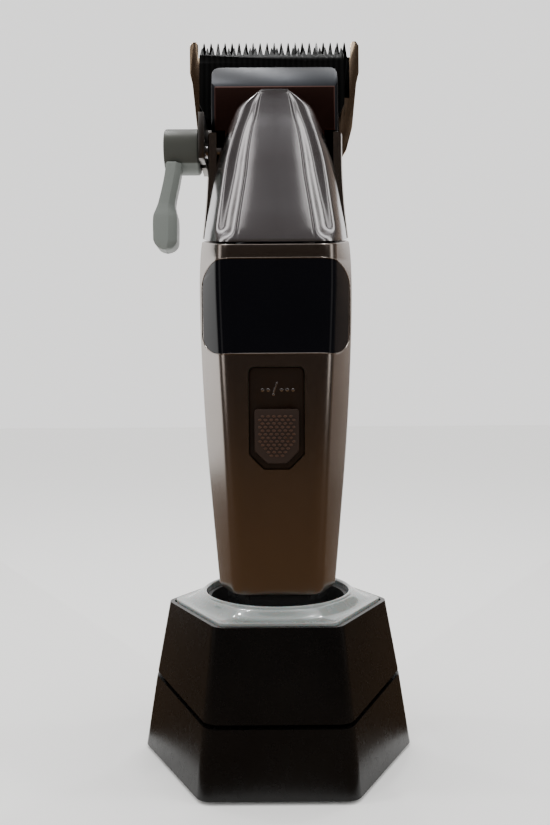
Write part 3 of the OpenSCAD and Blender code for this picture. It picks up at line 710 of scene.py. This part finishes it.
# height, half-width at the rim, half-width of the flat middle, depth of the flat in front of the rim
COVER = [
    (126.5, 18.9, 9.0, 14.5),
    (134, 18.0, 8.1, 12.2),
    (140, 17.0, 7.3, 10.2),
    (146, 16.0, 6.5, 8.3),
    (152, 14.6, 6.0, 6.5),
    (158, 12.6, 5.2, 4.6),
    (162.4, 10.8, 4.2, 3.2),
    (165.6, 9.1, 3.7, 2.3),
    (167.6, 6.4, 3.4, 1.8),
    (169.3, 3.6, 3.2, 1.5),
]


def bump_at(s, middle, reach):
    return math.cos(math.pi / 2 * (s - middle) / reach) ** 2 if abs(s - middle) < reach else 0.0


def cover_depth(z, s):
    """How far the cover stands in front of its rim, at share s from the flat middle to the rim."""
    h = smooth_column(COVER, z, 3)
    dome = h * max(0.0, 1 - s**2.7) ** 0.8
    seam_here = seam_z(RIM_Y - dome, SEAM_GAP)
    ends = ease((z - seam_here - 0.7) / 2.6) * min(1.0, h / 7)
    flutes = 1.25 * bump_at(s, 0.38, 0.32) + 0.3 * bump_at(s, 0.05, 0.06)
    return dome - ends * flutes


SHARES = [1 - k / 52 for k in range(52)] + [0.0]


def cover_row(level, inset):
    """A row across the cover, from rim to rim; level 0 follows the tilted seam, level 1 the tip."""
    row = []
    columns = [(-1, s) for s in SHARES] + [(0, 0)] + [(1, s) for s in reversed(SHARES)]
    for side, s in columns:
        z = SEAM_HEIGHT
        for _ in range(4):
            depth = cover_depth(z, s)
            low = seam_z(RIM_Y - depth, SEAM_GAP)
            z = low + (COVER_TOP - low) * level
        width, flat = smooth_column(COVER, z, 1), smooth_column(COVER, z, 2)
        x = flat + (width - flat) * s if side else 0.0
        row.append(Vector((side * x * (width - inset) / width, RIM_Y - max(0.0, depth - inset), z)))
    return row


levels = [1 - (1 - k / 70) ** 1.3 for k in range(71)]
outer_rows = [cover_row(level, 0.0) for level in levels]
inner_rows = [cover_row(level, COVER_WALL) for level in levels]
columns = len(outer_rows[0])
cover_verts = [p for row in outer_rows + inner_rows for p in row]
half_count = len(levels) * columns
cover_faces = grid_faces(len(levels), columns, closed_columns=False)
cover_faces += [tuple(half_count + i for i in reversed(face)) for face in cover_faces]
for j in range(len(levels) - 1):
    for edge_column in (0, columns - 1):
        a, b = j * columns + edge_column, (j + 1) * columns + edge_column
        cover_faces.append((a, b, half_count + b, half_count + a))
for i in range(columns - 1):
    for edge_row in (0, len(levels) - 1):
        a = edge_row * columns + i
        cover_faces.append((a, a + 1, half_count + a + 1, half_count + a))
cover = new_piece("nose_cover_skin", cover_verts, cover_faces, "clipper", smooth=math.radians(40))
bevel = cover.modifiers.new("round", "BEVEL")
bevel.width = 0.22 * MM
bevel.segments = 2
bevel.limit_method = "ANGLE"
bevel.angle_limit = math.radians(50)
apply_modifiers(cover)
stand_in(cover, "nose_cover", angle=40)

# ---------------------------------------------------------------- dock
DOCK_BASE_R = 35.8
DOCK_TOP_R = 29.2
DOCK_TOP = 38.0
FOOT = 0.8
GROOVE_HEIGHT = 19.5
GROOVE_WIDTH = 1.0
GROOVE_SLOPE = math.tan(math.radians(6))
EDGE_R = 4.5
DOCK_WALL = 2.0
# all the rings of a rim share one inset, this share of the rim's size,
# so the edges of the dock's shells are square and not rounded
RIM_INSET_SHARE = 0.801566


def dock_r(z):
    return DOCK_BASE_R - (DOCK_BASE_R - DOCK_TOP_R) / DOCK_TOP * z


def hexagon(r, edge, steps=10):
    corners = [(r * math.cos(math.radians(60 * k)), r * math.sin(math.radians(60 * k))) for k in range(6)]
    return rounded(corners, [edge] * 6, steps)


def dock_ring(height, inset):
    """A ring of the dock's skin; height is a function of y, and inset draws it in."""
    guess = [Vector((0, 0))] * 66
    for _ in range(4):
        heights = [height(p[1]) for p in guess]
        guess = [
            hexagon(dock_r(z) - inset / math.cos(math.radians(30)), max(EDGE_R - inset, 0.6))[i]
            for i, z in enumerate(heights)
        ]
    return [Vector((p[0], p[1], z)) for p, z in zip(guess, heights)]


def level(z):
    return lambda y: z


def groove(lift):
    return lambda y: GROOVE_HEIGHT + lift + y * GROOVE_SLOPE


def rim_profile(height, inset, size, outward, upward, steps=5):
    """Rings up a rim's edge; outward and upward say which way its corner points."""

    def step(k):
        drop = upward * size * (1 - math.sin(math.pi / 2 * k / steps))
        return lambda y: height(y) - drop, inset + size * RIM_INSET_SHARE

    out = [step(k) for k in range(steps + 1)]
    return out if outward else out[::-1]


def dock_part(name, profile):
    return lofted(name, [dock_ring(h, inset) for h, inset in profile], "dock", ring_closed=True)


half_gap = GROOVE_WIDTH / 2
inner_r = DOCK_WALL + 1.6
lower_profile = (
    [(level(FOOT), inner_r), (level(FOOT), 1.0)]
    + rim_profile(level(FOOT), 0.0, 0.7, False, -1)[1:]
    + rim_profile(groove(-half_gap), 0.0, 0.35, True, 1)
    + [(groove(-half_gap), DOCK_WALL + 0.2), (groove(2.4), DOCK_WALL + 0.2), (groove(2.4), inner_r)]
)
lower = dock_part("dock_lower_skin", lower_profile)
inlet_low, inlet_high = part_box("dock_power_inlet")
inlet_z = (inlet_low.z + inlet_high.z) / 2 / MM
slot_outline = rounded([(-4.9, -1.95), (4.9, -1.95), (4.9, 1.95), (-4.9, 1.95)], [1.9] * 4, 8)
boolean(lower, prism_cutter(slot_outline, 20, 40, Matrix.Translation((0, 0, inlet_z))))
upper_profile = (
    [(groove(half_gap), DOCK_WALL), (groove(half_gap), 0.9)]
    + rim_profile(groove(half_gap), 0.0, 0.35, False, -1)[1:]
    + rim_profile(level(DOCK_TOP), 0.0, 0.55, True, 1)
    + rim_profile(level(DOCK_TOP), 1.35, 0.3, False, 1)
    + [(level(DOCK_TOP - 3.0), 1.85), (level(DOCK_TOP - 3.0), DOCK_WALL)]
)
upper = dock_part("dock_upper_skin", upper_profile)
stand_in(lower, "dock_lower_shell")
stand_in(upper, "dock_upper_shell")

# ---------------------------------------------------------------- light ring
MOUTH_R = 18.4
PLATE_R = DOCK_TOP_R - 2.3
PLATE_OUTLINE = resampled(hexagon(PLATE_R, 3.0, 8), 0.9)


def ring_outline(share):
    """Between the plate's hexagon (0) and the collar's circle (1)."""
    outline = []
    for p in PLATE_OUTLINE:
        circle = p.normalized() * (MOUTH_R + 1.1)
        outline.append(p + (circle - p) * share)
    return outline


ring_rows = [(0.0, 36.6), (0.0, 38.35), (0.012, 38.5), (0.03, 38.56)]
for k in range(1, 25):
    share = 0.03 + 0.97 * k / 24
    ring_rows.append((share, 38.56 + 2.25 * ease(((share - 0.12) / 0.88) ** 1.6 if share > 0.12 else 0)))
ring_rings = [[Vector((p[0], p[1], z)) for p in ring_outline(share)] for share, z in ring_rows]


def circle_ring(r, z):
    return [Vector((*(Vector(p).normalized() * r), z)) for p in PLATE_OUTLINE]


for k in range(1, 7):
    angle = math.pi * k / 6
    ring_rings.append(circle_ring(MOUTH_R + 0.55 + 0.55 * math.cos(angle), 40.75 + 0.55 * math.sin(angle)))
ring_rings += [circle_ring(MOUTH_R, 39.5), circle_ring(MOUTH_R, 36.6)]
ring = lofted("light_ring_skin", ring_rings, "dock", ring_closed=True)
stand_in(ring, "dock_light_ring", angle=40)

# ---------------------------------------------------------------- switch and slider
refined("switch_plate", 0.18)
refined("switch_slider", 0.28, segments=4)


def oval_stud(place, middle, radii, base_y, height, body):
    """A low oval dome on the face, in the plane given by place; middle and radii are along X and Z."""
    rings = []
    for k in range(5):
        angle = math.pi / 2 * k / 4.4
        reach_x, reach_z = radii[0] * math.cos(angle), radii[1] * math.cos(angle)
        y = base_y - height * math.sin(angle)
        turns = (2 * math.pi * i / 14 for i in range(14))
        oval = [(middle[0] + reach_x * math.cos(a), middle[1] + reach_z * math.sin(a)) for a in turns]
        rings.append([place @ Vector((x, y, z)) for x, z in oval])
    return lofted("stud", rings, body)


def joined(name, parts, body, slot):
    """The given pieces as one."""
    verts, faces = [], []
    for part in parts:
        start = len(verts)
        verts += [tuple(v.co / MM) for v in part.data.vertices]
        faces += [tuple(start + i for i in p.vertices) for p in part.data.polygons]
        bpy.data.objects.remove(part)
    return dress(new_piece(name, verts, faces, body, smooth=math.radians(50)), slot)


SLIDER_FACE, PLATE_FACE = -0.89, 0.51
STUD_PITCH = (1.36, 0.86)
studs = []
for row in range(12):
    offset = 0.5 if row % 2 else 0.0
    for column in range(-3, 4):
        sx = (column + offset) * STUD_PITCH[0]
        sz = -8.9 + row * STUD_PITCH[1]
        if abs(sx) < 4.2 and sz > -10.0 + max(0.0, abs(sx) - 1.4) * 1.1:
            studs.append(oval_stud(SWITCH_PLACE, (sx, sz), (0.46, 0.29), SLIDER_FACE, 0.3, "switch"))
stud_field = joined("slider_studs", studs, "switch", "slider_brown")
stud_field.data.materials[0] = moulded("studs", (0.05, 0.023, 0.013), 0.3)

MARK_X = (-3.4, -2.0, 1.2, 2.6, 4.0)
marks = [oval_stud(SWITCH_PLACE, (x, 6.8), (0.42, 0.42), PLATE_FACE, 0.12, "clipper") for x in MARK_X]
marks.append(oval_stud(SWITCH_PLACE, (-0.75, 5.7), (0.32, 0.32), PLATE_FACE, 0.12, "clipper"))
slash = Matrix.Translation((-0.35, 0, 7.2)) @ Matrix.Rotation(math.radians(20), 4, "Y")
marks.append(oval_stud(SWITCH_PLACE @ slash, (0, 0), (0.2, 1.9), PLATE_FACE, 0.1, "clipper"))
joined("speed_marks", marks, "clipper", "port_steel")

# ---------------------------------------------------------------- head and blades
refined("blade_base", 0.45, segments=4, angle=28)
refined("fixed_blade", 0.1, segments=2)
refined("cutter_blade", 0.06, segments=1)
refined("blade_carrier", 0.25)
refined("end_cap", 0.3)

# ---------------------------------------------------------------- taper lever
AXIS_Z = 155.0
HUB = (-28.4, -19.4)
HUB_R = 5.75
AXLE_R = 1.6
CAM_R = 3.2
CAM_PIN_R = 1.4
# height, middle x, half-width, middle y, half-depth
ARM = [
    (128.2, -27.7, 2.9, -5.0, 3.7),
    (131, -27.7, 2.9, -5.0, 3.7),
    (136.5, -27.7, 2.9, -4.8, 3.5),
    (138.6, -27.6, 2.35, -4.7, 3.0),
    (140.2, -27.45, 2.0, -4.6, 2.7),
    (146, -26.3, 1.9, -4.0, 2.6),
    (150.8, -25.6, 1.9, -3.4, 2.7),
]
ARM_BOTTOM, ARM_TOP = ARM[0][0], ARM[-1][0]
TOE_R = 2.8


def arm_ring(z, inset=0.0):
    """The arm's section: a flat front face, and right of its crease a face that turns away."""
    x, hx, y, hy = (smooth_column(ARM, z, k) for k in (1, 2, 3, 4))
    toe = max(0.0, (ARM_BOTTOM + TOE_R - z) / TOE_R)
    hx = hx * math.sqrt(max(0.02, 1 - toe * toe)) - inset
    hy = hy * (1 - 0.25 * toe**3) - inset
    crease = hx * 0.3
    corners = [(-hx, -hy), (crease, -hy), (hx, -hy + 1.5), (hx, hy), (-hx, hy)]
    return [Vector((x + p[0], y + p[1], z)) for p in rounded(corners, (0.25, 0.3, 0.25, 0.5, 0.5), 4)]


def turned(name, profile, axis, body, sides=96):
    """A body of revolution about an axis along X at (y, z), from (x, radius) points of a closed profile."""
    verts = []
    for k in range(sides):
        angle = 2 * math.pi * k / sides
        sine, cosine = math.sin(angle), math.cos(angle)
        verts += [Vector((x, axis[0] + radius * sine, axis[1] + radius * cosine)) for x, radius in profile]
    return new_piece(name, verts, grid_faces(sides, len(profile), closed_rows=True), body)


arm_rings = [arm_ring(ARM_BOTTOM + 0.02 + (ARM_TOP - 0.4 - ARM_BOTTOM) * ease(k / 60)) for k in range(61)]
arm_rings += [arm_ring(ARM_TOP - 0.2, 0.03), arm_ring(ARM_TOP - 0.06, 0.1), arm_ring(ARM_TOP, 0.25)]
lever = lofted("taper_lever_skin", arm_rings, "lever")
outer_x, inner_x = HUB
barrel_profile = [
    (outer_x + 1.7, AXLE_R + 0.05), (outer_x + 1.7, 3.3), (outer_x + 0.2, 3.3), (outer_x, 3.5),
    (outer_x, HUB_R - 0.55), (outer_x + 0.16, HUB_R - 0.16), (outer_x + 0.55, HUB_R),
    (inner_x - 0.4, HUB_R), (inner_x, HUB_R - 0.4), (inner_x, AXLE_R + 0.05),
]
barrel = turned("lever_barrel", barrel_profile, (0, AXIS_Z), "lever")
cam_profile = [
    (inner_x - 0.5, 0.3), (inner_x - 0.5, CAM_PIN_R), (inner_x + 1.2, CAM_PIN_R), (inner_x + 1.4, 0.3)
]
cam_pin = turned("cam_pin", cam_profile, (-CAM_R, AXIS_Z), "lever", sides=40)
boolean(barrel, cam_pin, "UNION")
boolean(lever, barrel, "UNION")
stand_in(lever, "taper_lever", angle=28)

# ---------------------------------------------------------------- floor, backdrop and light
FLOOR = 3.0
floor_mesh = bpy.data.meshes.new("floor")
floor_corners = [(-FLOOR, -FLOOR, 0), (FLOOR, -FLOOR, 0), (FLOOR, FLOOR, 0), (-FLOOR, FLOOR, 0)]
floor_mesh.from_pydata(floor_corners, [], [(0, 1, 2, 3)])
floor = bpy.data.objects.new("floor", floor_mesh)
bpy.context.scene.collection.objects.link(floor)
floor_look = Nodes("floor")
floor_look.set(Base_Color=(0.9, 0.9, 0.89, 1), Roughness=0.7)
floor_mesh.materials.append(floor_look.material)


def softbox(name, place, aim, size, power, colour=(1, 1, 1)):
    """A rectangular lamp; place, aim and size are in millimetres, and power in watts."""
    light = bpy.data.objects.new(name, bpy.data.lights.new(name, "AREA"))
    light.data.shape = "RECTANGLE"
    light.data.size, light.data.size_y = size[0] * MM, size[1] * MM
    light.data.energy = power
    light.data.color = colour
    light.location = Vector(place) * MM
    light.rotation_euler = (Vector(aim) - Vector(place)).to_track_quat("-Z", "Y").to_euler()
    bpy.context.scene.collection.objects.link(light)


# tall strips at the sides draw the bright lines along the ribs and edges
for side, warm in ((-1, (1.0, 0.96, 0.94)), (1, (1.0, 0.98, 0.95))):
    softbox("side_strip", (side * 380, -50, 330), (0, 0, 120), (110, 620), 0.33, warm)
    softbox("front_strip", (side * 300, -260, 470), (0, 0, 140), (80, 420), 0.09, warm)
for lamp_x in (-170, -20, 130):
    for lamp_y in (10, 150):
        softbox("ceiling_lamp", (lamp_x, lamp_y, 560), (0, 0, 60), (15, 15), 0.25)

# a dark screen stands round the front and a brown card lies before it, as a photographer's flags do,
# so that polished faces have something dark to reflect; nothing but those reflections sees them
SCREEN_R = 560.0
SCREEN_HEIGHT = 1300.0
SCREEN_SPAN = (-118, 142)
CARD_SPAN = (-146, 146)
CARD_R = 42.0


def flag(name, span, edges, low_colour, high_colour, side_colour):
    """A curved sheet between two arcs, each a radius and a height, seen only in reflections."""
    turns = [math.radians(a) for a in range(span[0], span[1] + 1, 4)]
    arcs = [[Vector((reach * math.sin(a), -reach * math.cos(a), z)) for a in turns] for reach, z in edges]
    sheet = new_piece(name, arcs[0] + arcs[1], grid_faces(2, len(arcs[0]), closed_columns=False), None)
    look = Nodes(name)
    by_height = look.blend_colour(look.span(look.axis("Z"), 0, 1, 0.35, 1.1), low_colour, high_colour)
    by_side = look.blend_colour(look.span(look.axis("Y"), 0, 1, 0.12, 0.5), by_height, side_colour)
    look.link(by_side, look.shader.inputs["Base Color"])
    look.set(Roughness=0.9)
    sheet.data.materials.append(look.material)
    sheet.visible_camera = sheet.visible_diffuse = sheet.visible_shadow = False


SIDE_COLOUR = (0.2, 0.155, 0.125)
CARD_COLOUR = (0.07, 0.03, 0.002)
CARD_SIDE_COLOUR = (0.11, 0.085, 0.065)
screen_edges = ((SCREEN_R, 0.5), (SCREEN_R, SCREEN_HEIGHT))
flag("screen", SCREEN_SPAN, screen_edges, (0.02, 0.013, 0.009), (0.09, 0.081, 0.084), SIDE_COLOUR)
flag("card", CARD_SPAN, ((SCREEN_R, 0.4), (CARD_R, 0.4)), CARD_COLOUR, CARD_COLOUR, CARD_SIDE_COLOUR)

world = bpy.data.worlds.new("studio")
bpy.context.scene.world = world
world.use_nodes = True
world.node_tree.nodes["Background"].inputs["Color"].default_value = (1.0, 0.99, 0.98, 1)
world.node_tree.nodes["Background"].inputs["Strength"].default_value = 1.5
